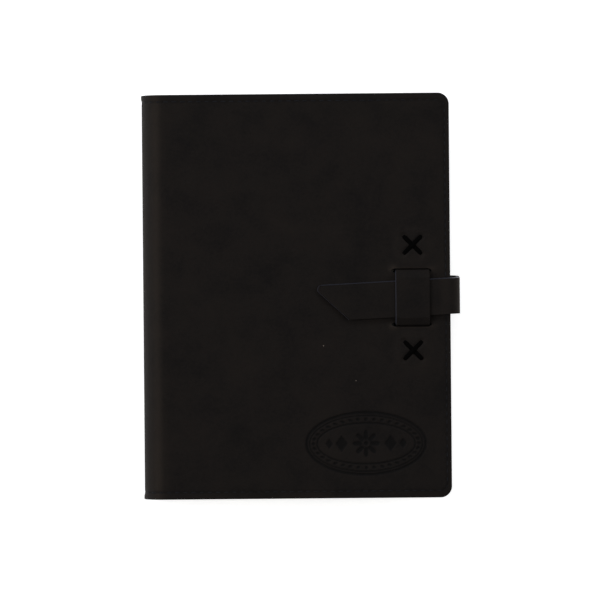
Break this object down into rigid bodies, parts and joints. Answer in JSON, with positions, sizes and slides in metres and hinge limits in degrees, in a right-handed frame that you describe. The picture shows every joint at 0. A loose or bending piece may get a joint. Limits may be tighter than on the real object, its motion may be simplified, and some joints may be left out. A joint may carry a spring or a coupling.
{
  "type": "leather notebook cover",
  "caption": "Black leather notebook cover with a rounded spine, edge stitching and a slanted strap that tucks through a keeper held by cross-stitches, closed round a hardback notebook.",
  "frame": {"origin": "middle of the footprint, on the outer face of the back cover, which the closed cover lies on", "axes": "+X from the spine to the fore-edge, +Y to the head, +Z out of the front cover"},
  "size_m": [0.167, 0.213, 0.0254],
  "materials": {
    "cover_leather": "matte oiled full grain, black",
    "strap_leather": "matte oiled full grain, black, painted edges",
    "pocket_leather": "matte, black",
    "lace": "waxed flat lace, black",
    "thread": "bonded thread, black",
    "lining": "thin suede, charcoal",
    "stiffener_board": "raw grey board",
    "notebook_cloth": "book cloth, dark slate",
    "paper": "uncoated cream"
  },
  "bodies": {
    "back": {"back_cover_leather": "cover_leather", "back_stiffener": "stiffener_board", "back_lining": "lining", "back_pocket": "pocket_leather", "back_stitching": "thread", "back_cross_stitch": "lace", "notebook_back_board": "notebook_cloth", "notebook_pages": "paper", "strap_anchor": "strap_leather"},
    "spine": {"spine_leather": "cover_leather", "spine_lining": "lining", "spine_head_stitching": "thread", "spine_foot_stitching": "thread", "notebook_spine": "notebook_cloth"},
    "front": {"front_cover_leather": "cover_leather", "front_stiffener": "stiffener_board", "front_lining": "lining", "front_pocket": "pocket_leather", "front_stitching": "thread", "strap_keeper": "strap_leather", "upper_cross_stitch": "lace", "lower_cross_stitch": "lace", "notebook_front_board": "notebook_cloth"},
    "strap_bend": {"strap_bend": "strap_leather"},
    "strap_tail": {"strap_tail": "strap_leather"}
  },
  "joints": [
    {"name": "cover_open", "type": "hinge", "parent": "back", "child": "spine", "pos_m": [-0.08119, 0, 0.00236], "axis": [0, -1, 0], "range_deg": [0, 89.3]},
    {"name": "front_fold", "type": "hinge", "parent": "spine", "child": "front", "pos_m": [-0.08119, 0, 0.01964], "axis": [0, -1, 0], "range_deg": [0, 89.3]},
    {"name": "strap_release", "type": "hinge", "parent": "back", "child": "strap_bend", "pos_m": [0.08256, 0, 0.00219], "axis": [0, 1, 0], "range_deg": [0, 90]},
    {"name": "strap_straighten", "type": "hinge", "parent": "strap_bend", "child": "strap_tail", "pos_m": [0.08256, 0, 0.02296], "axis": [0, 1, 0], "range_deg": [0, 90]}
  ],
  "couplings": [
    {"joint": "front_fold", "follows": "cover_open", "ratio": 1},
    {"joint": "strap_straighten", "follows": "strap_release", "ratio": 1}
  ]
}
